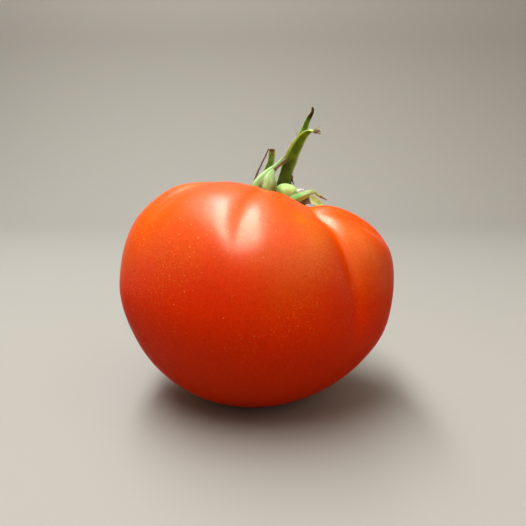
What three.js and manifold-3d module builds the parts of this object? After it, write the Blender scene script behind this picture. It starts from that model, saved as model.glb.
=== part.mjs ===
// A large ribbed slicing tomato as it is picked, with its calyx and the broken stub of its stem.
//
// Millimetres, +Z up. The fruit stands on a small flat spot worn under its blossom end, and its stem axis
// leans a little to the right (+X) and back (+Y). The origin is under the middle of the whole object, on the
// surface it stands on. The fruit is one solid. The calyx disc, the stem stub and each sepal are solids of
// their own, held clear of each other by a hair's breadth.

import * as THREE from 'three';
import { mergeVertices } from 'three/addons/utils/BufferGeometryUtils.js';
import Module from 'manifold-3d';

const { clamp, degToRad, lerp, smoothstep } = THREE.MathUtils;

// ---------------------------------------------------------------------------------------------------------
// Driving dimensions
// ---------------------------------------------------------------------------------------------------------

// The fruit, about its own stem axis. Heights are measured from the waist, its widest level.
const WAIST_RADIUS = 41.4;
const HEIGHT_BELOW_WAIST = 39;
const HEIGHT_ABOVE_WAIST = 28.3;
const BELLY_SQUARENESS = 1.95; // 2 is an ellipse, and more is boxier
const SHOULDER_SQUARENESS = 2.6;
const STEM_OFFSET = 4.8; // the stem end sits off the waist's centre, towards +X
const BLOSSOM_OFFSET = -2;
const HIGH_SHOULDER = 0.065; // how much one shoulder stands above the mean, as a share of its height
const HIGH_SHOULDER_AZIMUTH = -160;
const HOLLOW_DEPTH = 9.2; // the hollow round the stem
const HOLLOW_RADIUS = 11;

// The furrows that part the ribs. Each runs from the stem hollow towards the blossom end. Below driftsFrom
// it keeps its azimuth at the waist (degrees from +X, anticlockwise from above); from there it drifts to its
// azimuth at the stem. Its flanks, in degrees, may differ. It starts at startsAt and is full at fullAt, both
// counted from 0 at the blossom end to 180 at the stem.
const FURROWS = [
  {
    atStem: -170, atWaist: -136, driftsFrom: 90, depth: 1.5,
    leftFlank: 6, rightFlank: 8, startsAt: 85, fullAt: 130,
  },
  {
    atStem: -110.5, atWaist: -95.5, driftsFrom: 90, depth: 0.75,
    leftFlank: 3.8, rightFlank: 5.6, startsAt: 94, fullAt: 123,
  },
  {
    atStem: -77, atWaist: -73, driftsFrom: 90, depth: 1.6,
    leftFlank: 12, rightFlank: 10, startsAt: 128, fullAt: 152,
  },
  {
    atStem: -62, atWaist: -47.5, driftsFrom: 90, depth: 4.3,
    leftFlank: 10, rightFlank: 7.5, startsAt: 60, fullAt: 119,
  },
  {
    atStem: -56, atWaist: -25, driftsFrom: 128, depth: 1,
    leftFlank: 6, rightFlank: 7, startsAt: 120, fullAt: 140,
  },
  {
    atStem: 4, atWaist: 8, driftsFrom: 90, depth: 2.6,
    leftFlank: 12, rightFlank: 12, startsAt: 75, fullAt: 125,
  },
  {
    atStem: 42, atWaist: 40, driftsFrom: 90, depth: 2.4,
    leftFlank: 12, rightFlank: 12, startsAt: 70, fullAt: 125,
  },
  {
    atStem: 78, atWaist: 80, driftsFrom: 90, depth: 2.8,
    leftFlank: 12, rightFlank: 12, startsAt: 65, fullAt: 125,
  },
  {
    atStem: 118, atWaist: 116, driftsFrom: 90, depth: 2.2,
    leftFlank: 12, rightFlank: 12, startsAt: 80, fullAt: 130,
  },
  {
    atStem: 156, atWaist: 160, driftsFrom: 90, depth: 2,
    leftFlank: 12, rightFlank: 12, startsAt: 75, fullAt: 130,
  },
];
const FURROW_ROUNDING = 0.3; // rounds the bottom of a furrow, more the shallower it is
const FURROW_SHARPNESS = 1.35;

// A low swelling on the left shoulder, with its reach in degrees of azimuth and of turn.
const SWELLING = { azimuth: -178, turn: 137, height: 0.85, azimuthReach: 16, turnReach: 11 };

// How the fruit stands.
const LEAN_RIGHT = 8.8; // degrees
const LEAN_BACK = 4;
const FLAT_SPOT_DEPTH = 0.7; // how far the flat spot cuts into the round bottom

// How finely the fruit's skin is cut into facets.
const SKIN_COLUMNS = 84;
const SKIN_ROWS = 34;
const POLE_CROWDING = 0.65; // rows crowd towards both poles, where the form turns fastest

// The calyx, about the stem axis, with its heights from the bottom of the hollow.
const CLEARANCE = 0.3;
const DISC_RADIUS = 4;
const DISC_TOP = 3;
const SEPAL_THICKNESS = 0.9;
const SEPAL_STATIONS = 18;
const SEPAL_FACETS = 10;
const STUB_FACETS = 14;

// ---------------------------------------------------------------------------------------------------------
// Shared geometry
// ---------------------------------------------------------------------------------------------------------

// A closed body through rings of points, each ring anticlockwise as seen from the far end looking back.
// Both ends are closed by a fan to a point, which is the ring's middle where none is given.
function closedLoft(rings, firstPoint = middleOf(rings[0]), lastPoint = middleOf(rings.at(-1))) {
  const around = rings[0].length;
  const points = [...rings.flat(), firstPoint, lastPoint];
  const first = points.length - 2;
  const last = points.length - 1;
  const topRing = (rings.length - 1) * around;
  const faces = [];
  for (let j = 0; j < around; j += 1) {
    const next = (j + 1) % around;
    for (let i = 0; i < rings.length - 1; i += 1) {
      const low = i * around;
      const high = low + around;
      faces.push(low + j, low + next, high + j);
      faces.push(low + next, high + next, high + j);
    }
    faces.push(first, next, j);
    faces.push(last, topRing + j, topRing + next);
  }
  const geometry = new THREE.BufferGeometry().setFromPoints(points);
  geometry.setIndex(faces);
  return geometry;
}

function middleOf(ring) {
  const sum = ring.reduce((total, point) => total.add(point), new THREE.Vector3());
  return sum.divideScalar(ring.length);
}

// The value at share u of the way through a list of evenly spaced values.
function alongList(values, u) {
  const place = clamp(u, 0, 1) * (values.length - 1);
  const index = Math.min(Math.floor(place), values.length - 2);
  return lerp(values[index], values[index + 1], place - index);
}

// ---------------------------------------------------------------------------------------------------------
// Solids joined and cut with manifold
// ---------------------------------------------------------------------------------------------------------

const wasm = await Module();
wasm.setup();

function toSolid(geometry) {
  const bare = geometry.clone();
  bare.deleteAttribute('normal');
  bare.deleteAttribute('uv');
  const merged = mergeVertices(bare);
  const vertProperties = new Float32Array(merged.attributes.position.array);
  const triVerts = new Uint32Array(merged.index.array);
  return new wasm.Manifold(new wasm.Mesh({ numProp: 3, vertProperties, triVerts }));
}

function toGeometry(solid) {
  const mesh = solid.getMesh();
  const geometry = new THREE.BufferGeometry();
  geometry.setAttribute('position', new THREE.BufferAttribute(mesh.vertProperties, 3));
  geometry.setIndex(new THREE.BufferAttribute(mesh.triVerts, 1));
  return geometry;
}

// ---------------------------------------------------------------------------------------------------------
// The fruit: a squat, lopsided ball with a hollow at the stem and furrows between its ribs
// ---------------------------------------------------------------------------------------------------------

// A point of the smooth form, before the furrows. The turn is 0 at the blossom end and 180 at the stem.
function smoothFormPoint(turn, azimuth) {
  const sine = Math.sin(degToRad(turn));
  const cosine = Math.cos(degToRad(turn));
  const upper = smoothstep(turn, 60, 120);
  const power = 2 / lerp(BELLY_SQUARENESS, SHOULDER_SQUARENESS, upper);
  const radius = WAIST_RADIUS * Math.abs(sine) ** power;
  const rise = Math.abs(cosine) ** power;
  const hollow = Math.exp(-((radius / HOLLOW_RADIUS) ** 2));
  const towardsHigh = Math.cos(degToRad(azimuth - HIGH_SHOULDER_AZIMUTH));
  const shoulder = 1 + HIGH_SHOULDER * towardsHigh * (1 - hollow);
  const above = rise * HEIGHT_ABOVE_WAIST * shoulder - HOLLOW_DEPTH * hollow;
  const height = cosine > 0 ? -rise * HEIGHT_BELOW_WAIST : above;
  const stemShift = STEM_OFFSET * smoothstep(turn, 90, 180);
  const blossomShift = BLOSSOM_OFFSET * smoothstep(180 - turn, 90, 180);
  const x = radius * Math.cos(degToRad(azimuth)) + stemShift + blossomShift;
  return new THREE.Vector3(x, radius * Math.sin(degToRad(azimuth)), height);
}

// The angle from one azimuth to another, between -180 and 180 degrees.
function azimuthFrom(start, azimuth) {
  return THREE.MathUtils.euclideanModulo(azimuth - start + 180, 360) - 180;
}

// How deep the skin lies under the smooth form.
function skinDepth(turn, azimuth) {
  const nearStem = 1 - smoothstep(turn, 150, 178);
  let depth = 0;
  for (const furrow of FURROWS) {
    const drift = clamp((turn - furrow.driftsFrom) / (160 - furrow.driftsFrom), 0, 1);
    const away = azimuthFrom(lerp(furrow.atWaist, furrow.atStem, drift), azimuth);
    const flank = away < 0 ? furrow.leftFlank : furrow.rightFlank;
    const rounding = FURROW_ROUNDING / furrow.depth;
    const share = Math.hypot(away / flank, rounding) - rounding;
    const fade = smoothstep(turn, furrow.startsAt, furrow.fullAt) * nearStem;
    depth += furrow.depth * fade * Math.exp(-(share ** FURROW_SHARPNESS));
  }
  const beside = azimuthFrom(SWELLING.azimuth, azimuth) / SWELLING.azimuthReach;
  const above = (turn - SWELLING.turn) / SWELLING.turnReach;
  return depth - SWELLING.height * Math.exp(-(beside ** 2) - above ** 2);
}

// The skin: the smooth form, sunk or raised along its own normal.
function skinPoint(turn, azimuth) {
  const step = 0.5;
  const point = smoothFormPoint(turn, azimuth);
  const across = smoothFormPoint(turn, azimuth + step).sub(smoothFormPoint(turn, azimuth - step));
  const along = smoothFormPoint(turn + step, azimuth).sub(smoothFormPoint(turn - step, azimuth));
  const normal = across.cross(along).normalize();
  return point.addScaledVector(normal, -skinDepth(turn, azimuth));
}

function fruitSkin() {
  const rings = [];
  for (let row = 1; row < SKIN_ROWS; row += 1) {
    const share = row / SKIN_ROWS;
    const crowding = (POLE_CROWDING * Math.sin(2 * Math.PI * share)) / (2 * Math.PI);
    const turn = 180 * (share - crowding);
    const ring = [];
    for (let column = 0; column < SKIN_COLUMNS; column += 1) {
      ring.push(skinPoint(turn, (360 * column) / SKIN_COLUMNS));
    }
    rings.push(ring);
  }
  return closedLoft(rings, smoothFormPoint(0, 0), smoothFormPoint(180, 0));
}

// ---------------------------------------------------------------------------------------------------------
// The calyx and the stem stub, in the calyx's frame: the bottom of the hollow is its origin
// ---------------------------------------------------------------------------------------------------------

// The green disc at the bottom of the hollow that carries the sepals and the stem.
function calyxDisc() {
  const profile = [
    new THREE.Vector2(0, 1.4 * CLEARANCE),
    new THREE.Vector2(0.5 * DISC_RADIUS, 0.8),
    new THREE.Vector2(0.95 * DISC_RADIUS, 1.7),
    new THREE.Vector2(DISC_RADIUS, 2),
    new THREE.Vector2(0.88 * DISC_RADIUS, 2.5),
    new THREE.Vector2(0.6 * DISC_RADIUS, 0.96 * DISC_TOP),
    new THREE.Vector2(0, DISC_TOP),
  ];
  return new THREE.LatheGeometry(profile, 24).rotateX(Math.PI / 2);
}

// A round body along a path, with a radius for each of the path's points.
function roundLoft(path, radii, stations) {
  const curve = new THREE.CatmullRomCurve3(path.map((point) => new THREE.Vector3(...point)));
  const rings = [];
  for (let i = 0; i <= stations; i += 1) {
    const u = i / stations;
    const middle = curve.getPointAt(u);
    const ahead = curve.getTangentAt(u);
    const side = new THREE.Vector3(1, 0, 0).addScaledVector(ahead, -ahead.x).normalize();
    const face = ahead.clone().cross(side);
    const radius = alongList(radii, u);
    const ring = [];
    for (let j = 0; j < STUB_FACETS; j += 1) {
      const angle = (2 * Math.PI * j) / STUB_FACETS;
      const point = middle.clone().addScaledVector(side, radius * Math.cos(angle));
      ring.push(point.addScaledVector(face, radius * Math.sin(angle)));
    }
    rings.push(ring);
  }
  return closedLoft(rings);
}

// The stub of the stem: it swells to a knuckle where the stem broke off, with a torn strand beside the top.
function stemStub() {
  const knuckle = roundLoft(
    [[0, 0, DISC_TOP + CLEARANCE], [0, 0, 4.4], [-0.1, -0.9, 6.4], [-0.1, -1.7, 8.6], [-0.1, -2.1, 10.9]],
    [2.3, 2.3, 2.4, 2.6, 2.8, 3, 3.2, 3.3, 3.3, 3.1, 2.6, 1.9, 0.5],
    12,
  );
  const strand = new THREE.SphereGeometry(1.1, 10, 8).scale(1.3, 1, 0.85).translate(3.7, -2, 9.1);
  return toGeometry(toSolid(knuckle).add(toSolid(strand)));
}

// Each sepal springs from the disc's rim and follows its spine. Its outer face is turned to the azimuth
// facing. Its widths are evenly spaced from base to tip. The turn swings the face about the spine, in
// degrees, again from base to tip. The cup bends its edges towards the stem.
const SEPALS = [
  {
    name: 'sepal_tall_front',
    facing: 110,
    spine: [[-1.6, 4.4, 2.6], [-1.9, 4.6, 6], [-1.7, 4, 11], [-1.2, 3.2, 16], [-0.4, 2.4, 20],
      [0.7, 1.7, 23.6], [2.1, 1.1, 26.3], [3.8, 0.5, 27.8], [6, 0, 28.1], [7.4, -0.3, 28.2]],
    widths: [2.6, 4, 4.5, 4.3, 4.2, 4.5, 4.2, 3.3, 2, 0.8],
    turn: [0, 0, 10],
    cup: 0.45,
  },
  {
    name: 'sepal_tall_back',
    facing: 62,
    spine: [[2.2, 4.1, 2.6], [1.9, 5.4, 6], [-0.1, 5.9, 11.5], [-0.2, 5.1, 17], [0.9, 4.3, 22.5],
      [2.5, 3.7, 27.5], [3.1, 3.1, 31], [4.1, 2.4, 33.8], [3.8, 2.1, 35.2]],
    widths: [2.6, 3.4, 3.4, 3.1, 2.9, 2.7, 2.3, 1.6, 0.6],
    turn: [0, 20, 20],
    cup: 0.45,
  },
  {
    name: 'sepal_blunt',
    facing: 148,
    spine: [[-3.9, 2.6, 2.7], [-6.6, 3.6, 6], [-7.6, 3.6, 10], [-7.1, 3.4, 13.3], [-6.2, 3.1, 17],
      [-6.4, 2.8, 20.9]],
    widths: [2.2, 3, 3, 2.4, 2, 1.9],
    turn: [0, -40, -55],
    cup: 0.4,
  },
  {
    name: 'sepal_withered',
    facing: 180,
    spine: [[-4.7, 0.1, 2.8], [-7.4, -0.3, 5.2], [-9.9, -0.5, 8.3], [-9.9, -0.4, 11.6], [-8.7, -0.2, 16],
      [-7.3, 0.2, 20.6]],
    widths: [1.8, 1.6, 1.3, 1, 0.8, 0.65],
    turn: [0, 0, 0],
    cup: 0.3,
  },
  {
    name: 'sepal_left',
    facing: -148,
    spine: [[-4.1, -2.5, 2.9], [-7.2, -3.6, 5.8], [-9.6, -4.4, 8.1], [-9, -4.8, 10.4], [-7.5, -4.7, 12.6],
      [-5.7, -4.3, 14.6], [-3.8, -3.7, 16.8], [-2.2, -3.2, 19.1]],
    widths: [2.3, 3, 3.6, 4.2, 4.6, 4.7, 4.4, 3, 1.3, 1, 0.7],
    turn: [0, 15, 30, 35],
    cup: 0.5,
  },
  {
    name: 'sepal_claw',
    facing: -112,
    spine: [[-1.6, -4.5, 2.8], [-4.3, -6.7, 5.2], [-6.2, -7.9, 7.8], [-6.2, -8.2, 10], [-6.2, -7.6, 12],
      [-5.3, -6.5, 13.9], [-3.6, -5.6, 15.9], [-1.8, -5, 17.9]],
    widths: [2.3, 3, 3.8, 4.4, 4.8, 4.9, 4.7, 3.7, 1.7, 1.1, 0.9, 0.7],
    turn: [0, 0, 0],
    cup: 0.55,
  },
  {
    name: 'sepal_arched',
    facing: -40,
    spine: [[2, -4.3, 2.7], [1.5, -5.3, 4.4], [2.1, -5.7, 6.4], [3.7, -5.4, 7.4], [5.2, -5, 8.3],
      [6.7, -4.5, 9.2], [8.2, -4.1, 9.4], [9.7, -3.6, 8.7], [12.3, -2.4, 8]],
    widths: [2.3, 2.6, 2.7, 2.7, 2.5, 1.9, 1.2, 0.8, 0.5],
    turn: [-20, -45, -55, -55, -40],
    cup: 0.4,
  },
  {
    name: 'sepal_curled',
    facing: 0,
    spine: [[4.7, 0, 2.6], [4.9, -0.2, 4.2], [5.9, -0.2, 5.8], [7.4, -0.1, 6.7], [9.1, 0.2, 6.6],
      [10.6, 0.5, 6.4], [11.6, 0.7, 6.6]],
    widths: [2.3, 2.8, 3.2, 3.4, 3.2, 2.4, 1.3],
    turn: [0, 30, 55, 55],
    cup: 0.5,
  },
];

function sepalBody({ facing, spine, widths, turn, cup }) {
  const curve = new THREE.CatmullRomCurve3(spine.map((point) => new THREE.Vector3(...point)));
  const sideways = new THREE.Vector3(Math.sin(degToRad(facing)), -Math.cos(degToRad(facing)), 0);
  const rings = [];
  for (let i = 0; i <= SEPAL_STATIONS; i += 1) {
    const u = i / SEPAL_STATIONS;
    const middle = curve.getPointAt(u);
    const ahead = curve.getTangentAt(u);
    const side = sideways.clone().addScaledVector(ahead, -ahead.dot(sideways)).normalize();
    side.applyAxisAngle(ahead, degToRad(alongList(turn, u)));
    const outer = ahead.clone().cross(side);
    const halfWidth = alongList(widths, u) / 2;
    const halfThickness = lerp(0.5, 0.3, u) * Math.min(SEPAL_THICKNESS, 2 * halfWidth);
    const ring = [];
    for (let j = 0; j < SEPAL_FACETS; j += 1) {
      const angle = (2 * Math.PI * j) / SEPAL_FACETS;
      const across = Math.cos(angle);
      const proud = halfThickness * Math.sin(angle) - cup * halfWidth * across ** 2;
      const point = middle.clone().addScaledVector(side, halfWidth * across);
      ring.push(point.addScaledVector(outer, proud));
    }
    rings.push(ring);
  }
  return closedLoft(rings);
}

// ---------------------------------------------------------------------------------------------------------
// Assembly
// ---------------------------------------------------------------------------------------------------------

const skinMaterial = new THREE.MeshStandardMaterial({ color: 0xd9360c, roughness: 0.35, metalness: 0 });
const sepalMaterial = new THREE.MeshStandardMaterial({ color: 0x5f7f22, roughness: 0.75, metalness: 0 });
const witheredMaterial = new THREE.MeshStandardMaterial({ color: 0x6a4526, roughness: 0.85, metalness: 0 });
const stemMaterial = new THREE.MeshStandardMaterial({ color: 0xa8bf6a, roughness: 0.7, metalness: 0 });

function namedMesh(name, geometry, material) {
  const mesh = new THREE.Mesh(geometry, material.clone());
  mesh.name = name;
  return mesh;
}

const leaning = new THREE.Group();
leaning.rotation.set(-degToRad(LEAN_BACK), degToRad(LEAN_RIGHT), 0);

// The flat spot: everything under the ground plane is cut away.
const roundSkin = fruitSkin();
leaning.updateMatrix();
const standing = roundSkin.clone().applyMatrix4(leaning.matrix);
standing.computeBoundingBox();
const groundHeight = standing.boundingBox.min.z + FLAT_SPOT_DEPTH;
const ground = new THREE.BoxGeometry(120, 120, 20).translate(0, 0, groundHeight - 10);
ground.applyMatrix4(leaning.matrix.clone().invert());
const fruit = toGeometry(toSolid(roundSkin).subtract(toSolid(ground)));
leaning.add(namedMesh('fruit', fruit, skinMaterial));

const calyx = new THREE.Group();
calyx.position.copy(smoothFormPoint(180, 0));
calyx.add(namedMesh('calyx_disc', calyxDisc(), stemMaterial));
calyx.add(namedMesh('stem_stub', stemStub(), stemMaterial));
for (const sepal of SEPALS) {
  const material = sepal.name === 'sepal_withered' ? witheredMaterial : sepalMaterial;
  calyx.add(namedMesh(sepal.name, sepalBody(sepal), material));
}
leaning.add(calyx);

// The origin goes under the middle of the whole object, on the ground.
const tomato = new THREE.Group();
tomato.add(leaning);
tomato.updateMatrixWorld(true);
const extent = new THREE.Box3().setFromObject(tomato, true);
leaning.position.set(-(extent.min.x + extent.max.x) / 2, -(extent.min.y + extent.max.y) / 2, -groundHeight);
tomato.updateMatrixWorld(true);

export default tomato;
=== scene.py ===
import math

import bpy
import numpy as np
from mathutils import Matrix, Vector, noise


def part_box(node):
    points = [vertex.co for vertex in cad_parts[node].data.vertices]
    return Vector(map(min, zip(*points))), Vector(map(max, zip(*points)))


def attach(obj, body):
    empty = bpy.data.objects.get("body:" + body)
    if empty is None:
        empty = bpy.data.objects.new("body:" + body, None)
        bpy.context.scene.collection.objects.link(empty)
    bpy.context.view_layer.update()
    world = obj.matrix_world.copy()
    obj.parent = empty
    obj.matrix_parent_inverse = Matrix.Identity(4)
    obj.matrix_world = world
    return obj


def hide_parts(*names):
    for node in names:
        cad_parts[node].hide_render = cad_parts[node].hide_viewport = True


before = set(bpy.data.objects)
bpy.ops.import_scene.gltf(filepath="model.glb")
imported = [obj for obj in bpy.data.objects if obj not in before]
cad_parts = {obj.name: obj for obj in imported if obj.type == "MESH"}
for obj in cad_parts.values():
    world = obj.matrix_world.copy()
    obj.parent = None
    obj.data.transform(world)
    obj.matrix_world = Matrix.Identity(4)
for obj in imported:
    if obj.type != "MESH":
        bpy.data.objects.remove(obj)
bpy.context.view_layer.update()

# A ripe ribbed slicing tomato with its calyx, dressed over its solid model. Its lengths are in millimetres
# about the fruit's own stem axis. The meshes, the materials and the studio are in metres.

# ----------------------------------------------------------------------------------------------------------
# Fruit
# One fleshy berry under a thin waxy skin, ripe red below and orange on its shoulders. It grew in lobes with
# furrows between them, a hollow round the stem and, where it rests, a small flat spot.
# ----------------------------------------------------------------------------------------------------------
MM = 0.001
WAIST_RADIUS = 41.4
HEIGHT_BELOW_WAIST = 39
HEIGHT_ABOVE_WAIST = 28.3
BELLY_SQUARENESS = 1.95
SHOULDER_SQUARENESS = 2.6
STEM_OFFSET = 4.8
BLOSSOM_OFFSET = -2
HIGH_SHOULDER = 0.065
HIGH_SHOULDER_AZIMUTH = math.radians(-160)
HOLLOW_DEPTH = 9.2
HOLLOW_RADIUS = 11
LEAN_RIGHT = math.radians(8.8)
LEAN_BACK = math.radians(4)
# A turn runs up the side of the fruit, from 0 degrees at the blossom end through 90 at the waist to 180 at
# the stem. The belly's squareness gives way to the shoulders' between these turns.
SHOULDER_TURNS = (60, 120)
SKIN_COLUMNS = 420
SKIN_ROWS = 210
POLE_CROWDING = 0.65
FLAT_EDGE_SOFTNESS = 0.5
SETTLING_REACH = 4
SCAR_RADIUS = 1.7
# The skin's lumps: how high they stand, and how wide they are.
BROAD_LUMPS = (0.16, 17)
SMALL_LUMPS = (0.035, 5)

# Each furrow: its azimuth at the stem and at the waist, the turn from which it drifts between them, its
# depth, how wide its left and right flanks are, and the turns at which it starts and has its full depth.
FURROWS = [
    (-170, -136, 90, 1.5, 6, 8, 85, 130),
    (-110.5, -95.5, 90, 0.75, 3.8, 5.6, 94, 123),
    (-62, -47.5, 90, 4.3, 10, 7.5, 60, 119),
    (-77, -73, 90, 1.6, 12, 10, 128, 152),
    (-56, -25, 128, 1.0, 6, 7, 120, 140),
    (4, 8, 90, 2.6, 12, 12, 75, 125),
    (42, 40, 90, 2.4, 12, 12, 70, 125),
    (78, 80, 90, 2.8, 12, 12, 65, 125),
    (118, 116, 90, 2.2, 12, 12, 80, 130),
    (156, 160, 90, 2.0, 12, 12, 75, 130),
]
FURROW_DRIFT_ENDS = 160
FURROWS_CLOSE = (150, 178)
FURROW_ROUNDING = 0.3
FURROW_SHARPNESS = 1.35
# The golden stripe beside a furrow of this depth is painted light where light catches the furrow's right
# flank: how far it lies from the middle, and how far it reaches.
STRIPED_DEPTH = 4.4
STRIPE_ASIDE = 4
STRIPE_REACH = 5

# A low swelling on the left shoulder: its azimuth and turn, how far it reaches in each, and its height.
SWELLING = (-178, 137, 16, 11, 0.85)

# Patches of golden skin, partly its own tint and partly painted light on the lit upper lobes: their azimuth
# and turn, how far they reach in each, and how strong they are.
GOLDEN_PATCHES = [
    (-79, 134, 5, 7, 1.0),
    (-71, 124, 8, 10, 0.7),
    (-76, 110, 10, 12, 0.35),
    (-169, 144, 8, 12, 0.9),
    (-147, 120, 14, 12, 0.3),
    (-50, 134, 6, 8, 0.6),
    (-43, 117, 6, 14, 0.6),
    (-47, 126, 5, 7, 0.35),
    (-32, 110, 9, 16, 0.35),
    (-34, 137, 7, 8, 0.6),
]


def smoothstep(value, low, high):
    share = np.clip((value - low) / (high - low), 0, 1)
    return share * share * (3 - 2 * share)


def smooth_form(turn, azimuth):
    """Points of the fruit before its furrows, their distance from its axis, and how deep in the hollow."""
    cosine = np.cos(np.radians(turn))
    squarer = smoothstep(turn, *SHOULDER_TURNS)
    squareness = BELLY_SQUARENESS + (SHOULDER_SQUARENESS - BELLY_SQUARENESS) * squarer
    power = 2 / squareness
    radius = WAIST_RADIUS * np.abs(np.sin(np.radians(turn))) ** power
    rise = np.abs(cosine) ** power
    hollow = np.exp(-((radius / HOLLOW_RADIUS) ** 2))
    towards_high = np.cos(np.radians(azimuth) - HIGH_SHOULDER_AZIMUTH)
    shoulder = 1 + HIGH_SHOULDER * towards_high * (1 - hollow)
    above = rise * HEIGHT_ABOVE_WAIST * shoulder - HOLLOW_DEPTH * hollow
    height = np.where(cosine > 0, -rise * HEIGHT_BELOW_WAIST, above)
    shift = STEM_OFFSET * smoothstep(turn, 90, 180) + BLOSSOM_OFFSET * smoothstep(180 - turn, 90, 180)
    x = radius * np.cos(np.radians(azimuth)) + shift
    y = radius * np.sin(np.radians(azimuth))
    return np.stack([x, y, height], axis=-1), radius, hollow


def degrees_from(middle, azimuth):
    """How far round each azimuth lies from the middle, from -180 to 180."""
    return (azimuth - middle + 180) % 360 - 180


def soft_patch(turn, azimuth, azimuth_there, turn_there, azimuth_reach, turn_reach):
    """1 in the middle of a patch of the skin, fading softly around it."""
    away = degrees_from(azimuth_there, azimuth)
    return np.exp(-((away / azimuth_reach) ** 2) - ((turn - turn_there) / turn_reach) ** 2)


def furrow_depths(turn, azimuth):
    """How deep the skin lies under the smooth form, and how near it is to a furrow's lit right flank, where
    a golden stripe of painted light goes.
    """
    depth = np.zeros_like(turn)
    painted_light_nearness = np.zeros_like(turn)
    for at_stem, at_waist, drifts_from, full_depth, left_flank, right_flank, starts_at, full_at in FURROWS:
        drift = np.clip((turn - drifts_from) / (FURROW_DRIFT_ENDS - drifts_from), 0, 1)
        away = degrees_from(at_waist + (at_stem - at_waist) * drift, azimuth)
        flank = np.where(away < 0, left_flank, right_flank)
        rounding = FURROW_ROUNDING / full_depth
        share = np.hypot(away / flank, rounding) - rounding
        fade = smoothstep(turn, starts_at, full_at) * (1 - smoothstep(turn, *FURROWS_CLOSE))
        depth += full_depth * fade * np.exp(-(share**FURROW_SHARPNESS))
        # The stripe is painted light on the furrow's lit right flank.
        stripe = np.exp(-(((away - STRIPE_ASIDE) / STRIPE_REACH) ** 2))
        painted_light_nearness = np.maximum(painted_light_nearness, fade * full_depth / STRIPED_DEPTH * stripe)
    *where, swelling = SWELLING
    depth -= swelling * soft_patch(turn, azimuth, *where)
    return depth, painted_light_nearness


def grow_fruit():
    """Points of the skin in rows round the stem axis, and the values that its finish reads."""
    share = np.linspace(0, 1, SKIN_ROWS + 1)[:, None]
    turn = 180 * (share - POLE_CROWDING * np.sin(2 * np.pi * share) / (2 * np.pi))
    turn = np.repeat(turn, SKIN_COLUMNS, axis=1)
    azimuth = np.repeat(np.linspace(-180, 180, SKIN_COLUMNS, endpoint=False)[None], SKIN_ROWS + 1, axis=0)
    points, radius, hollow = smooth_form(turn, azimuth)
    half_step = 0.5
    across = smooth_form(turn, azimuth + half_step)[0] - smooth_form(turn, azimuth - half_step)[0]
    along = smooth_form(turn + half_step, azimuth)[0] - smooth_form(turn - half_step, azimuth)[0]
    normal = np.cross(across, along)
    length = np.linalg.norm(normal, axis=-1, keepdims=True)
    normal = normal / np.maximum(length, 1e-6)
    depth, painted_light_nearness = furrow_depths(turn, azimuth)
    lumps = np.array([
        sum(height * noise.noise(Vector(point) / width) for height, width in (BROAD_LUMPS, SMALL_LUMPS))
        for point in points.reshape(-1, 3)
    ]).reshape(turn.shape)
    # A pole has no clear normal, so the lumps fade out towards it.
    lumps *= smoothstep(length[..., 0], 0.0, 0.02)
    points = points + normal * (lumps - depth)[..., None]
    scar = np.exp(-((radius / SCAR_RADIUS) ** 2)) * (turn < 90)
    golden = np.zeros_like(turn)
    for *where, strength in GOLDEN_PATCHES:
        golden += strength * soft_patch(turn, azimuth, *where)
    return points, {"furrow": painted_light_nearness, "hollow": hollow, "scar": scar, "golden": golden}


points, skin_values = grow_fruit()
lean = Matrix.Rotation(-LEAN_BACK, 3, "X") @ Matrix.Rotation(LEAN_RIGHT, 3, "Y")
points = points @ np.array(lean).T

# The lean is known, so the fruit's box tells where its stem axis stands.
fruit_low, fruit_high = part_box("fruit")
flat = points.reshape(-1, 3)
place = np.array([
    (fruit_low.x + fruit_high.x) / (2 * MM) - (flat[:, 0].min() + flat[:, 0].max()) / 2,
    (fruit_low.y + fruit_high.y) / (2 * MM) - (flat[:, 1].min() + flat[:, 1].max()) / 2,
    fruit_high.z / MM - flat[:, 2].max(),
])
points = points + place

# The skin settles on the ground with a soft edge round the flat spot.
lowest = points[..., 2].min()
settled = (points[..., 2] + np.hypot(points[..., 2], FLAT_EDGE_SOFTNESS)) / 2
settled_low = (lowest + math.hypot(lowest, FLAT_EDGE_SOFTNESS)) / 2
points[..., 2] = settled - settled_low * np.exp(-np.maximum(points[..., 2], 0) / SETTLING_REACH)


def closed_rings(rings):
    """Vertices and quads of a body through rings of points whose first and last ring are each one point."""
    count, around = rings.shape[:2]
    vertices = [rings[0, 0], *rings[1:-1].reshape(-1, 3), rings[-1, 0]]
    faces = []
    last = len(vertices) - 1
    for j in range(around):
        k = (j + 1) % around
        faces.append((0, 1 + k, 1 + j))
        for i in range(count - 3):
            low = 1 + i * around
            high = low + around
            faces.append((low + j, low + k, high + k, high + j))
        faces.append((1 + (count - 3) * around + j, 1 + (count - 3) * around + k, last))
    return vertices, faces


def ring_values(values):
    """One value for each of closed_rings' vertices."""
    return np.concatenate([values[0, :1], values[1:-1].reshape(-1), values[-1, :1]])


def make_piece(name, vertices, faces, material, values):
    """A smooth-shaded piece in metres, with its named values for the material."""
    mesh = bpy.data.meshes.new(name)
    mesh.from_pydata([tuple(float(c) * MM for c in v) for v in vertices], [], faces)
    for label, column in values.items():
        attribute = mesh.attributes.new(label, "FLOAT", "POINT")
        attribute.data.foreach_set("value", np.asarray(column, np.float32))
    mesh.materials.append(material)
    mesh.shade_smooth()
    piece = bpy.data.objects.new(name, mesh)
    bpy.context.scene.collection.objects.link(piece)
    return piece


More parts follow.
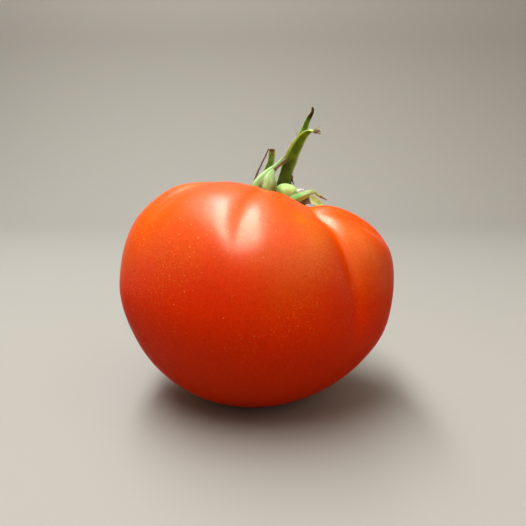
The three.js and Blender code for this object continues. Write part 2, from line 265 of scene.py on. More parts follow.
class Finish:
    """A node material on one Principled shader, with short calls for the nodes that the finishes share."""

    def __init__(self, name):
        self.material = bpy.data.materials.new(name)
        self.material.use_nodes = True
        self.nodes = self.material.node_tree.nodes
        self.links = self.material.node_tree.links
        self.shader = self.nodes["Principled BSDF"]
        self.place = self.nodes.new("ShaderNodeTexCoord").outputs["Object"]

    def set(self, **sockets):
        for socket, value in sockets.items():
            self.feed(self.shader.inputs[socket.replace("_", " ")], value)

    def feed(self, socket, value):
        if isinstance(value, bpy.types.NodeSocket):
            self.links.new(value, socket)
        elif socket.type == "RGBA":
            socket.default_value = (*value, 1)
        else:
            socket.default_value = value

    def attribute(self, label):
        node = self.nodes.new("ShaderNodeAttribute")
        node.attribute_name = label
        return node.outputs["Fac"]

    def height(self):
        node = self.nodes.new("ShaderNodeSeparateXYZ")
        self.links.new(self.place, node.inputs[0])
        return node.outputs["Z"]

    def ramp(self, value, low, high, start=0.0, end=1.0, smooth=True):
        node = self.nodes.new("ShaderNodeMapRange")
        node.interpolation_type = "SMOOTHSTEP" if smooth else "LINEAR"
        for socket, item in zip(("Value", "From Min", "From Max", "To Min", "To Max"),
                                (value, low, high, start, end)):
            self.feed(node.inputs[socket], item)
        return node.outputs["Result"]

    def math(self, operation, a, b):
        node = self.nodes.new("ShaderNodeMath")
        node.operation = operation
        self.feed(node.inputs[0], a)
        self.feed(node.inputs[1], b)
        return node.outputs[0]

    def mix(self, share, a, b):
        node = self.nodes.new("ShaderNodeMix")
        node.data_type = "RGBA"
        self.feed(node.inputs["Factor"], share)
        self.feed(node.inputs[6], a)
        self.feed(node.inputs[7], b)
        return node.outputs[2]

    def stretched(self, x, y, z):
        node = self.nodes.new("ShaderNodeMapping")
        self.links.new(self.place, node.inputs["Vector"])
        node.inputs["Scale"].default_value = (x, y, z)
        return node.outputs[0]

    def noise(self, per_metre, detail=2, vector=None):
        node = self.nodes.new("ShaderNodeTexNoise")
        self.links.new(vector or self.place, node.inputs["Vector"])
        node.inputs["Scale"].default_value = per_metre
        node.inputs["Detail"].default_value = detail
        return node.outputs[0]

    def dots(self, per_metre):
        """Distance from the middle of the nearest scattered dot, and a random value for that dot."""
        node = self.nodes.new("ShaderNodeTexVoronoi")
        self.links.new(self.place, node.inputs["Vector"])
        node.inputs["Scale"].default_value = per_metre
        split = self.nodes.new("ShaderNodeSeparateColor")
        self.links.new(node.outputs["Color"], split.inputs[0])
        return node.outputs["Distance"], split.outputs[0]

    def bump(self, height, depth, strength, under=None):
        node = self.nodes.new("ShaderNodeBump")
        node.inputs["Distance"].default_value = depth
        node.inputs["Strength"].default_value = strength
        self.links.new(height, node.inputs["Height"])
        if under:
            self.links.new(under, node.inputs["Normal"])
        return node.outputs[0]


LOW_RED = (0.88, 0.040, 0.003)
WAIST_RED = (0.95, 0.034, 0.0)
SHOULDER_ORANGE = (0.95, 0.110, 0.002)
GOLD_AND_PAINTED_LIGHT = (0.96, 0.165, 0.001)
DARK_GRAIN = (0.60, 0.015, 0.0)
GOLDEN_PINPOINT = (0.98, 0.30, 0.02)
PALE_SPECK = (0.95, 0.40, 0.14)
SCAR_BROWN = (0.17, 0.075, 0.03)
WAX_TINT = (1.0, 0.91, 0.70)


def ripe_skin():
    """Waxed skin over red flesh. The ramps over its height are in metres above the ground."""
    skin = Finish("ripe_skin")
    height = skin.height()
    # Ripe red below, orange towards the shoulders, broken up by broad patches.
    patches = skin.noise(26, detail=3)
    wandering = skin.math("ADD", height, skin.ramp(patches, 0.3, 0.7, -0.010, 0.010, smooth=False))
    colour = skin.mix(skin.ramp(wandering, 0.004, 0.036), LOW_RED, WAIST_RED)
    colour = skin.mix(skin.ramp(wandering, 0.034, 0.062), colour, SHOULDER_ORANGE)
    # Golden tints: the skin's own in the stem hollow, painted light along the furrows' lit right flanks,
    # and patches that are partly the skin's own tint and partly painted light.
    gold_and_painted_light = skin.math("MULTIPLY", skin.attribute("furrow"), skin.ramp(height, 0.030, 0.056))
    gold_and_painted_light = skin.math("MULTIPLY", gold_and_painted_light, 0.8)
    gold_and_painted_light = skin.math("MAXIMUM", gold_and_painted_light, skin.math("MULTIPLY", skin.attribute("hollow"), 0.75))
    gold_and_painted_light = skin.math("MAXIMUM", gold_and_painted_light, skin.math("MINIMUM", skin.attribute("golden"), 1.0))
    colour = skin.mix(gold_and_painted_light, colour, GOLD_AND_PAINTED_LIGHT)
    # The finest mottling of the flesh under the skin.
    grain = skin.ramp(skin.noise(2300, detail=1), 0.38, 0.62, 0.0, 0.30, smooth=False)
    colour = skin.mix(grain, colour, DARK_GRAIN)
    # Golden pinpoints crowd on the upper half, with a few larger pale ones over the whole skin.
    crowd = skin.math("MULTIPLY", skin.ramp(skin.noise(55), 0.40, 0.60, 0.08),
                      skin.ramp(height, 0.022, 0.048, 0.1, 0.75))
    distance, random = skin.dots(2100)
    speck = skin.math("LESS_THAN", distance, skin.ramp(random, 0.30, 1.0, 0.0, 0.34, smooth=False))
    colour = skin.mix(skin.math("MULTIPLY", speck, crowd), colour, GOLDEN_PINPOINT)
    distance, random = skin.dots(950)
    speck = skin.math("LESS_THAN", distance, skin.ramp(random, 0.62, 1.0, 0.0, 0.17, smooth=False))
    spread = skin.ramp(height, 0.010, 0.055, 0.25, 0.8)
    colour = skin.mix(skin.math("MULTIPLY", speck, spread), colour, PALE_SPECK)
    colour = skin.mix(skin.ramp(skin.attribute("scar"), 0.25, 0.55), colour, SCAR_BROWN)
    roughness = skin.ramp(skin.noise(90, detail=3), 0.3, 0.7, 0.27, 0.33)
    dimples = skin.bump(skin.noise(900, detail=2), 0.00006, 0.35)
    # The wax is glossiest on the shoulders. Seen edge on its bloom dulls it, though less round the hollow.
    edge_on = skin.nodes.new("ShaderNodeLayerWeight").outputs["Facing"]
    gloss = skin.ramp(height, 0.036, 0.056, 0.05, 0.74)
    dullest = skin.ramp(height, 0.060, 0.068, 0.06, 0.30)
    gloss = skin.math("MULTIPLY", gloss, skin.ramp(edge_on, 0.25, 0.75, 1.0, dullest))
    # This even level stands where a varying one can't be kept.
    skin.set(Specular_IOR_Level=0.3)
    skin.set(Base_Color=colour, Roughness=roughness, Normal=dimples, IOR=1.45,
             Specular_IOR_Level=gloss, Specular_Tint=WAX_TINT,
             Subsurface_Weight=0.12, Subsurface_Radius=(1.0, 0.25, 0.1), Subsurface_Scale=0.002)
    return skin.material


vertices, faces = closed_rings(points)
fruit = make_piece("ribbed_fruit", vertices, faces, ripe_skin(),
                   {label: ring_values(values) for label, values in skin_values.items()})
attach(fruit, "root")
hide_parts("fruit")

# ----------------------------------------------------------------------------------------------------------
# Calyx disc
# A small fleshy green plate at the bottom of the hollow. The sepals spring from its rim and the stem from
# its middle. It is pale green with fine radial ridges.
# ----------------------------------------------------------------------------------------------------------
# Radius and height, from the middle of the underside to the middle of the top.
DISC_PROFILE = [(0, 0.42), (2, 0.8), (3.4, 1.35), (3.9, 1.75), (4, 2.05), (3.8, 2.35), (3.3, 2.6),
                (2.4, 2.88), (1.2, 2.98), (0, 3)]
DISC_AROUND = 96
DISC_RINGS_EACH = 5
RIDGE_COUNT = 16
RIDGE_HEIGHT = 0.10
# The ridges rise to their full height between these radii.
RIDGES_RISE = (1.2, 3.2)
FLESH_GREENS = ((0.50, 0.84, 0.19), (0.68, 0.94, 0.34))
FLESH_FLECK = (0.76, 0.84, 0.46)
FLESH_TORN = (0.95, 0.91, 0.74)
FLESH_DRIED = (0.20, 0.11, 0.035)

# The calyx stands where the stem axis leaves the bottom of the hollow.
hollow_bottom = smooth_form(np.array(180.0), np.array(0.0))[0]
calyx_place = Vector(hollow_bottom @ np.array(lean).T + place)


def from_calyx(rows):
    """Points given about the calyx's own axis, leaned and placed with the fruit."""
    rows = np.asarray(rows, float)
    return rows @ np.array(lean).T + np.array(calyx_place)


def grow_disc():
    """Rings of the disc, turned through its profile and raised into radial ridges."""
    profile = np.array(DISC_PROFILE, float)
    stops = np.linspace(0, 1, len(profile))
    fine = np.linspace(0, 1, (len(profile) - 1) * DISC_RINGS_EACH + 1)
    radius = np.interp(fine, stops, profile[:, 0])[:, None]
    height = np.interp(fine, stops, profile[:, 1])[:, None]
    angle = np.linspace(0, 2 * np.pi, DISC_AROUND, endpoint=False)
    ridges = RIDGE_HEIGHT * np.cos(RIDGE_COUNT * angle) * smoothstep(radius, *RIDGES_RISE)
    return np.stack([radius * np.cos(angle), radius * np.sin(angle), height + ridges], axis=-1)


def pale_green_flesh():
    flesh = Finish("pale_green_flesh")
    colour = flesh.mix(flesh.ramp(flesh.noise(500, detail=3), 0.35, 0.65), *FLESH_GREENS)
    distance, random = flesh.dots(2600)
    fleck = flesh.math("LESS_THAN", distance, flesh.ramp(random, 0.3, 1.0, 0.0, 0.30, smooth=False))
    colour = flesh.mix(flesh.math("MULTIPLY", fleck, 0.55), colour, FLESH_FLECK)
    colour = flesh.mix(flesh.attribute("torn"), colour, FLESH_TORN)
    colour = flesh.mix(flesh.attribute("dry"), colour, FLESH_DRIED)
    bumps = flesh.bump(flesh.noise(1400, detail=2), 0.00012, 0.5)
    flesh.set(Base_Color=colour, Roughness=0.55, Normal=bumps, IOR=1.4,
              Subsurface_Weight=0.35, Subsurface_Radius=(0.6, 1.0, 0.3), Subsurface_Scale=0.0015)
    return flesh.material


green_flesh = pale_green_flesh()
vertices, faces = closed_rings(from_calyx(grow_disc()))
disc = make_piece("calyx_plate", vertices, faces, green_flesh, {
    "torn": np.zeros(len(vertices)),
    "dry": np.full(len(vertices), 0.25),
})
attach(disc, "root")
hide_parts("calyx_disc")

# ----------------------------------------------------------------------------------------------------------
# Stem stub
# The knuckle where the stem snapped off: a smooth swollen end of pale green flesh, faintly ribbed along its
# length, with a torn strand of cream fibre beside its top. It stands on the disc.
# ----------------------------------------------------------------------------------------------------------
KNUCKLE_SPINE = [(0, 0, 2.6), (0, 0, 4.4), (-0.1, -0.9, 6.4), (-0.1, -1.7, 8.6), (-0.1, -2.1, 11)]
KNUCKLE_RADII = [2.3, 2.3, 2.5, 2.8, 3.1, 3.3, 3.35, 3.3, 3.2]
DOME_STARTS_AT = 0.76
KNUCKLE_RIBS = 7
RIB_HEIGHT = 0.07
LUMP_HEIGHT = 0.10
LUMP_WIDTH = 1.6
STRAND_PLACE = (3.8, -2.0, 9.15)
STRAND_SIZE = (1.35, 0.9, 0.8)
STRAND_TILT = math.radians(-35)
STRAND_FIBRES = 7
# Shares of the strand's size: how far its fibres stand out, how ragged it is, and how close its rags lie.
FIBRE_RELIEF = 0.16
RAGGEDNESS = 0.35
RAGS = 2.3
CURVE_STEPS = 40
CORNER_ROUNDING = 0.35


def curve_through(spine, count):
    """Points evenly spaced along a smooth curve through the spine's points."""
    spine = np.array(spine, float)
    padded = np.vstack([2 * spine[0] - spine[1], spine, 2 * spine[-1] - spine[-2]])
    t = np.linspace(0, 1, CURVE_STEPS, endpoint=False)[:, None]
    stretches = []
    for before, start, end, after in zip(padded, padded[1:], padded[2:], padded[3:]):
        first, middle, last = (np.linalg.norm(b - a) ** 0.5
                               for a, b in ((before, start), (start, end), (end, after)))
        chord = (end - start) / middle
        leaving = ((start - before) / first - (end - before) / (first + middle) + chord) * middle
        arriving = (chord - (after - start) / (middle + last) + (after - end) / last) * middle
        square = 3 * (end - start) - 2 * leaving - arriving
        cube = 2 * (start - end) + leaving + arriving
        stretches.append(start + leaving * t + square * t**2 + cube * t**3)
    dense = np.vstack([*stretches, spine[-1:]])
    travelled = np.concatenate([[0], np.cumsum(np.linalg.norm(np.diff(dense, axis=0), axis=1))])
    stops = np.linspace(0, travelled[-1], count)
    return np.stack([np.interp(stops, travelled, dense[:, axis]) for axis in range(3)], axis=-1)


def along_list(values, share):
    """The value at each share of the way through a list of evenly spaced values, with rounded corners."""
    stops = np.linspace(0, 1, len(values))
    reach = CORNER_ROUNDING / (len(values) - 1)
    before, here, after = (np.interp(share + step, stops, values) for step in (-reach, 0, reach))
    return (before + 2 * here + after) / 4


def unit(rows):
    return rows / np.maximum(np.linalg.norm(rows, axis=-1, keepdims=True), 1e-9)


def frames_along(middle, sideways, turn):
    """Ahead, side and outer directions along a spine, the last two swung about it by the turn."""
    ahead = unit(np.gradient(middle, axis=0))
    side = unit(sideways - ahead * (ahead @ sideways)[:, None])
    swing = np.radians(turn)[:, None]
    side = side * np.cos(swing) + np.cross(ahead, side) * np.sin(swing)
    return ahead, side, np.cross(ahead, side)


def grow_knuckle(stations=90, around=96):
    """Rings of the swollen knuckle, and how far up it each point lies."""
    share = np.linspace(0, 1, stations)
    middle = curve_through(KNUCKLE_SPINE, stations)
    ahead, side, face = frames_along(middle, np.array([1.0, 0, 0]), np.zeros(stations))
    dome = np.sqrt(1 - np.clip((share - DOME_STARTS_AT) / (1 - DOME_STARTS_AT), 0, 1) ** 2)
    radius = along_list(KNUCKLE_RADII, share) * dome
    angle = np.linspace(0, 2 * np.pi, around, endpoint=False)
    ribs = RIB_HEIGHT * np.cos(KNUCKLE_RIBS * angle)[None] * dome[:, None]
    swell = (radius[:, None] + ribs)[..., None]
    rings = (middle[:, None] + swell * (side[:, None] * np.cos(angle)[:, None]
                                        + face[:, None] * np.sin(angle)[:, None]))
    outward = unit(rings - middle[:, None])
    lumps = np.array([noise.noise(Vector(point) / LUMP_WIDTH) for point in rings.reshape(-1, 3)])
    lumps = LUMP_HEIGHT * lumps.reshape(stations, around) * dome[:, None]
    rings = rings + outward * lumps[..., None]
    rings[0] = middle[0]
    rings[-1] = middle[-1]
    return rings, np.repeat(share[:, None], around, axis=1)


def grow_strand(stations=28, around=28):
    """The torn strand: a ragged pad of fibre leaning on the knuckle."""
    polar = np.linspace(0, np.pi, stations)[:, None]
    angle = np.linspace(0, 2 * np.pi, around, endpoint=False)[None]
    ball = np.stack(np.broadcast_arrays(
        np.cos(polar), np.sin(polar) * np.cos(angle), np.sin(polar) * np.sin(angle)), axis=-1)
    fibres = 1 + FIBRE_RELIEF * np.cos(STRAND_FIBRES * angle) * np.sin(polar)
    ragged = np.array([noise.noise(Vector(point) * RAGS) for point in ball.reshape(-1, 3)])
    ragged = RAGGEDNESS * ragged.reshape(stations, around)
    pad = ball * (fibres + ragged)[..., None] * np.array(STRAND_SIZE)
    tilt = np.array(Matrix.Rotation(STRAND_TILT, 3, "Y"))
    return pad @ tilt.T + np.array(STRAND_PLACE)


def joined(parts):
    """One list of vertices and faces, and one set of values, from several closed bodies."""
    vertices, faces, values = [], [], {}
    for part_vertices, part_faces, part_values in parts:
        start = len(vertices)
        vertices.extend(part_vertices)
        faces.extend(tuple(start + i for i in face) for face in part_faces)
        for label, column in part_values.items():
            values.setdefault(label, []).extend(column)
    return vertices, faces, values


knuckle_rings, knuckle_share = grow_knuckle()
knuckle_vertices, knuckle_faces = closed_rings(from_calyx(knuckle_rings))
strand_vertices, strand_faces = closed_rings(from_calyx(grow_strand()))
vertices, faces, values = joined([
    (knuckle_vertices, knuckle_faces, {
        "torn": np.zeros(len(knuckle_vertices)),
        "dry": 0.25 * (1 - ring_values(smoothstep(knuckle_share, 0.0, 0.35))),
    }),
    (strand_vertices, strand_faces, {
        "torn": np.ones(len(strand_vertices)),
        "dry": np.zeros(len(strand_vertices)),
    }),
])
stub = make_piece("stem_knuckle", vertices, faces, green_flesh, values)
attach(stub, "root")
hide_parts("stem_stub")

# ----------------------------------------------------------------------------------------------------------
# Living sepals
# Seven narrow lobes like leaves that grow from the disc's rim, of soft green tissue with a keel and faint
# veins outside, thin pale margins and a coat of short hairs. The tips have curled and mostly dried, and the
# front one's margins are torn into slivers.
# ----------------------------------------------------------------------------------------------------------
SEPAL_STATIONS = 150
SEPAL_AROUND = 48
BASE_THICKNESS = 0.75
TIP_THICKNESS = 0.34
# Shares of the thickness: what the margins keep, and what the middle has on top of that.
MARGIN_THICKNESS = 0.55
MIDDLE_THICKNESS = 0.45
TIP_ROUNDING = 0.025
TIP_BLUNTNESS = 0.98
EDGE_ROLL = 0.12
ROLL_VARIATION = 1.2
ROLL_WAVES = 5
KEEL_HEIGHT = 0.20
KEEL_WIDTH = 0.20
INNER_KEEL = 0.55
VEIN_HEIGHT = 0.045
VEIN_COUNT = 5
# Keel, veins and crumples are lower where the sepal is narrower than this to either side.
NARROW = 1.2
EDGE_WAVES = 9
EDGE_WAVINESS = 0.10
CRUMPLE_HEIGHT = 0.10
CRUMPLE_WIDTH = 1.9
# Drying adds waves and crumples and takes away from the ribs, over this share of the length.
DRYING_SPAN = 0.12
DRIED_WAVINESS = 0.15
DRIED_CRUMPLE = 0.16
DRIED_RIB_LOSS = 0.6


def sepal_surface(seed, facing, spine, widths, turn, cup, dry_from):
    """Rings of points along a sepal, where they lie along, across and through it, and its frames."""
    stations, around = SEPAL_STATIONS, SEPAL_AROUND
    share = np.linspace(0, 1, stations)
    middle = curve_through(spine, stations)
    bearing = math.radians(facing)
    sideways = np.array([math.sin(bearing), -math.cos(bearing), 0])
    ahead, side, outer = frames_along(middle, sideways, along_list(turn, share))
    half_width = along_list(widths, share) / 2
    into_tip = np.clip((share - (1 - TIP_ROUNDING)) / TIP_ROUNDING, 0, 1)
    half_width = half_width * np.sqrt(1 - into_tip**2 * TIP_BLUNTNESS)
    thickness = BASE_THICKNESS + (TIP_THICKNESS - BASE_THICKNESS) * share
    half_thickness = np.minimum(thickness, 2 * half_width) / 2
    angle = np.linspace(0, 2 * np.pi, around, endpoint=False)
    across = np.cos(angle)
    facewise = np.sin(angle)
    withering = smoothstep(share, dry_from, dry_from + DRYING_SPAN)
    fullness = np.minimum(1.0, half_width / NARROW)
    rings = np.zeros((stations, around, 3))
    for i in range(stations):
        # Each sepal reads the noise at its own places, so that each of its edges has its own waves.
        run = EDGE_WAVES * share[i]
        right = noise.noise(Vector((run, seed * 3.1, 0.0)))
        left = noise.noise(Vector((run, seed * 3.1, 7.0)))
        waves = np.where(across > 0, right, left) * np.abs(across)
        width = half_width[i] * (1 + (EDGE_WAVINESS + DRIED_WAVINESS * withering[i]) * waves)
        rolling = noise.noise(Vector((ROLL_WAVES * share[i], seed * 1.7, 3.0)))
        roll = EDGE_ROLL * (1 + ROLL_VARIATION * rolling)
        trough = (cup * across**2 + roll * across**4) * half_width[i]
        body = half_thickness[i] * facewise * (MARGIN_THICKNESS + MIDDLE_THICKNESS * (1 - across**2))
        fade = fullness[i] * (1 - DRIED_RIB_LOSS * withering[i])
        keel = KEEL_HEIGHT * fade * np.exp(-((across / KEEL_WIDTH) ** 2)) * np.abs(facewise)
        keel = keel * np.where(facewise > 0, 1.0, INNER_KEEL)
        veins = VEIN_HEIGHT * fade * np.cos(VEIN_COUNT * np.pi * across) * np.abs(facewise) * (facewise > 0)
        rings[i] = (middle[i] + side[i] * (width * across)[:, None]
                    + outer[i] * (body - trough + keel + veins)[:, None])
    crumple = np.array([
        noise.noise(Vector(point) / CRUMPLE_WIDTH + Vector((seed, 0, 0))) for point in rings.reshape(-1, 3)
    ]).reshape(stations, around)
    height = CRUMPLE_HEIGHT + DRIED_CRUMPLE * withering[:, None]
    rings += outer[:, None] * (crumple * fullness[:, None] * height)[..., None]
    rings[0] = rings[0].mean(axis=0)
    rings[-1] = rings[-1].mean(axis=0)
    return rings, share, across, facewise, (ahead, side, outer)


# A hair bends once. These are the shares of its length below and above the bend.
BELOW_BEND = 0.55
ABOVE_BEND = 0.45
HAIR_RADIUS = 0.032
HAIR_TAPER = 0.7
ROOTED_DEPTH = 0.08


def grow_hair(root, direction, length, bend):
    """One tapering hair: three sides, bent once, closed at its root and ending in a point."""
    direction = direction.normalized()
    side = direction.orthogonal().normalized()
    other = direction.cross(side)
    knee = root + direction * (BELOW_BEND * length)
    tip = knee + (direction + bend).normalized() * (ABOVE_BEND * length)
    foot = root - direction * ROOTED_DEPTH
    vertices = []
    for middle, radius in ((foot, HAIR_RADIUS), (knee, HAIR_TAPER * HAIR_RADIUS)):
        for k in range(3):
            turn = 2 * math.pi * k / 3
            vertices.append(middle + side * (radius * math.cos(turn)) + other * (radius * math.sin(turn)))
    vertices.append(tip)
    faces = [(2, 1, 0), (0, 1, 4, 3), (1, 2, 5, 4), (2, 0, 3, 5), (3, 4, 6), (4, 5, 6), (5, 3, 6)]
    return [tuple(v) for v in vertices], faces


def leaf_values(count, **given):
    """The values that the leaf's finish reads, each zero unless it is given."""
    labels = ("pale", "yellow", "margin", "dry", "tan", "along", "across", "hair")
    return {label: np.broadcast_to(given.get(label, 0.0), count) for label in labels}


SLIVER_STATIONS = 14
SLIVER_AROUND = 10
SLIVER_ROOTED = 0.06
SLIVER_WAVES = 2.2
SLIVER_WANDER = 0.28
SLIVER_FLATNESS = 0.3
SLIVER_TWIST = 5
SLIVER_SEED = 1


def grow_sliver(rings, place, edge, length, thickness, dry, tan, pale, direction):
    """A crinkled sliver torn loose from the margin."""
    root = rings[int(place * (len(rings) - 1)), 0 if edge > 0 else rings.shape[1] // 2]
    share = np.linspace(0, 1, SLIVER_STATIONS)
    ahead = unit(np.array(direction, float))
    side = unit(np.cross(ahead, [0.1, 1.0, 0.2]))
    other = np.cross(ahead, side)
    # Vector noise starts from the clock unless it is seeded.
    noise.seed_set(SLIVER_SEED)
    wander = np.array([noise.noise_vector(Vector((SLIVER_WAVES * u, length, thickness))) for u in share])
    middle = root + ahead * (length * (share[:, None] - SLIVER_ROOTED))
    middle = middle + wander * (SLIVER_WANDER * length * share[:, None])
    angle = np.linspace(0, 2 * np.pi, SLIVER_AROUND, endpoint=False)
    # Thin at its root, full a third of the way along and fine at its end.
    radius = thickness * (0.3 + 0.7 * smoothstep(share, 0, 0.35)) * (1 - 0.85 * share**1.5)
    radius = radius[:, None] * (1 + SLIVER_FLATNESS * np.cos(2 * angle + SLIVER_TWIST * share[:, None]))
    outward = side * np.cos(angle)[:, None] + other * np.sin(angle)[:, None]
    sliver = middle[:, None] + radius[..., None] * outward
    sliver[0] = middle[0]
    sliver[-1] = middle[-1]
    vertices, faces = closed_rings(from_calyx(sliver))
    return vertices, faces, leaf_values(len(vertices), pale=pale, dry=dry, tan=tan, along=place)


HAIR_LENGTHS = (0.25, 0.65)
SHARE_ON_MARGINS = 0.6
MARGIN_BAND = 3
BARE_RINGS = (6, 3)
LEAN_OUTWARD = 0.5
UNDER_EDGE = -0.2
LEAN_AHEAD = 0.25
HAIR_SPREAD = 0.28
HAIR_BEND = 0.5
HAIR_DRYNESS = 0.6


def grow_hairs(random, rings, frames, dryness, count):
    """Short hairs over the outer face and margins, except at the very base and tip."""
    ahead, _, outer = frames
    stations, around = rings.shape[:2]
    half_round = around // 2
    wanted = []
    for _ in range(count):
        i = random.integers(BARE_RINGS[0], stations - BARE_RINGS[1])
        if random.random() < SHARE_ON_MARGINS:
            j = random.choice([0, half_round]) + random.integers(-MARGIN_BAND, MARGIN_BAND + 1)
        else:
            j = random.integers(0, half_round)
        wanted.append((i, j % around, random.uniform(*HAIR_LENGTHS)))
    parts = []
    for i, j, length in wanted:
        root = rings[i, j]
        on_outer_face = j < half_round
        lean_out = LEAN_OUTWARD * outer[i] * (1 if on_outer_face else UNDER_EDGE)
        away = unit(root - rings[i].mean(axis=0)) + lean_out
        away = away + LEAN_AHEAD * ahead[i] + random.normal(0, HAIR_SPREAD, 3)
        bend = random.normal(0, HAIR_BEND, 3)
        vertices, faces = grow_hair(Vector(root), Vector(away), length, Vector(bend))
        values = leaf_values(len(vertices), pale=1.0, yellow=0.2, dry=HAIR_DRYNESS * dryness[i],
                             along=i / stations, hair=1.0)
        parts.append((from_calyx(vertices), faces, values))
    return parts


# Most of these come in pairs, between which the tissue varies in blotches or streaks.
DEEP_GREENS = ((0.038, 0.050, 0.003), (0.105, 0.150, 0.005))
FRESH_GREENS = ((0.100, 0.165, 0.004), (0.19, 0.31, 0.008))
BASE_GREENS = ((0.15, 0.50, 0.08), (0.30, 0.74, 0.20))
PALE_GREENS = ((0.33, 0.60, 0.22), (0.56, 0.80, 0.40))
YELLOW_GREENS = ((0.42, 0.60, 0.14), (0.66, 0.78, 0.34))
DRIED_AND_SHADE_BROWNS = ((0.045, 0.014, 0.004), (0.165, 0.070, 0.022))
DRIED_TANS = ((0.30, 0.17, 0.08), (0.55, 0.38, 0.21))
MARGIN_GREEN = (0.56, 0.81, 0.24)
DOWN_WHITE = (0.66, 0.72, 0.50)
HAIR_WHITE = (0.70, 0.74, 0.52)


def green_sepal():
    """Leaf tissue, deep green at the base and fresher above, pale, dried, or darkened with painted shade
    where the piece says so.
    """
    leaf = Finish("green_sepal")
    across = leaf.attribute("across")
    along = leaf.attribute("along")
    # A grain that runs along the leaf, from where each point lies on it.
    grain_place = leaf.nodes.new("ShaderNodeCombineXYZ")
    leaf.links.new(leaf.math("MULTIPLY", across, 7.0), grain_place.inputs[0])
    leaf.links.new(leaf.math("MULTIPLY", along, 9.0), grain_place.inputs[1])
    streaks = leaf.noise(1.0, detail=3, vector=grain_place.outputs[0])
    blotches = leaf.noise(420, detail=3)
    deep = leaf.mix(leaf.ramp(blotches, 0.36, 0.66), *DEEP_GREENS)
    fresh = leaf.mix(leaf.ramp(blotches, 0.36, 0.66), *FRESH_GREENS)
    deep = leaf.mix(leaf.ramp(along, 0.36, 0.66), deep, fresh)
    pale = leaf.mix(leaf.ramp(streaks, 0.36, 0.64), *PALE_GREENS)
    base = leaf.mix(leaf.ramp(streaks, 0.36, 0.64), *BASE_GREENS)
    pale = leaf.mix(leaf.ramp(along, 0.28, 0.60), base, pale)
    yellow = leaf.mix(leaf.ramp(blotches, 0.40, 0.62), *YELLOW_GREENS)
    pale = leaf.mix(leaf.attribute("yellow"), pale, yellow)
    colour = leaf.mix(leaf.attribute("pale"), deep, pale)
    colour = leaf.mix(leaf.attribute("margin"), colour, MARGIN_GREEN)
    # Soft pale down, as fine points.
    distance, random = leaf.dots(3400)
    down = leaf.math("LESS_THAN", distance, leaf.ramp(random, 0.45, 1.0, 0.0, 0.34, smooth=False))
    downy = leaf.ramp(leaf.attribute("pale"), 0.0, 0.6, 0.10, 0.35)
    colour = leaf.mix(leaf.math("MULTIPLY", down, downy), colour, DOWN_WHITE)
    # Dried tissue, and painted shade under the arched sepal: dark brown in patches, or tan where it is
    # thin.
    dried_and_shaded = leaf.mix(leaf.ramp(blotches, 0.38, 0.62), *DRIED_AND_SHADE_BROWNS)
    thin = leaf.mix(leaf.ramp(blotches, 0.38, 0.62), *DRIED_TANS)
    dried_and_shaded = leaf.mix(leaf.attribute("tan"), dried_and_shaded, thin)
    patchy = leaf.math("ADD", leaf.attribute("dry"), leaf.ramp(blotches, 0.3, 0.7, -0.25, 0.25))
    colour = leaf.mix(leaf.ramp(patchy, 0.35, 0.65), colour, dried_and_shaded)
    colour = leaf.mix(leaf.math("MULTIPLY", leaf.attribute("hair"), 0.8), colour, HAIR_WHITE)
    ribbing = leaf.bump(streaks, 0.00010, 0.5)
    pimples = leaf.bump(leaf.noise(2200, detail=2), 0.00008, 0.5, under=ribbing)
    leaf.set(Base_Color=colour, Roughness=0.62, Normal=pimples, IOR=1.4, Specular_IOR_Level=0.18,
             Sheen_Weight=0.12, Sheen_Roughness=0.5, Subsurface_Weight=0.6,
             Subsurface_Radius=(0.6, 1.0, 0.25), Subsurface_Scale=0.0012)
    return leaf.material


leaf_green = green_sepal()

# Where a sepal's colours change: across it from the middle to the edge, or along it from base to tip.
DRYING_BLUR = 0.08
FACE_BLUR = 0.25
MARGIN_ACROSS = (0.74, 0.95)
MARGIN_ALONG = (0.30, 0.60)
MARGIN_AT_BASE = 0.25
FOLD_BLUR = 0.1
FOLD_ALONG = (0.46, 0.66)
DARK_RIM_ACROSS = (0.35, 0.85)
DARK_RIM_ALONG = (0.50, 0.66)


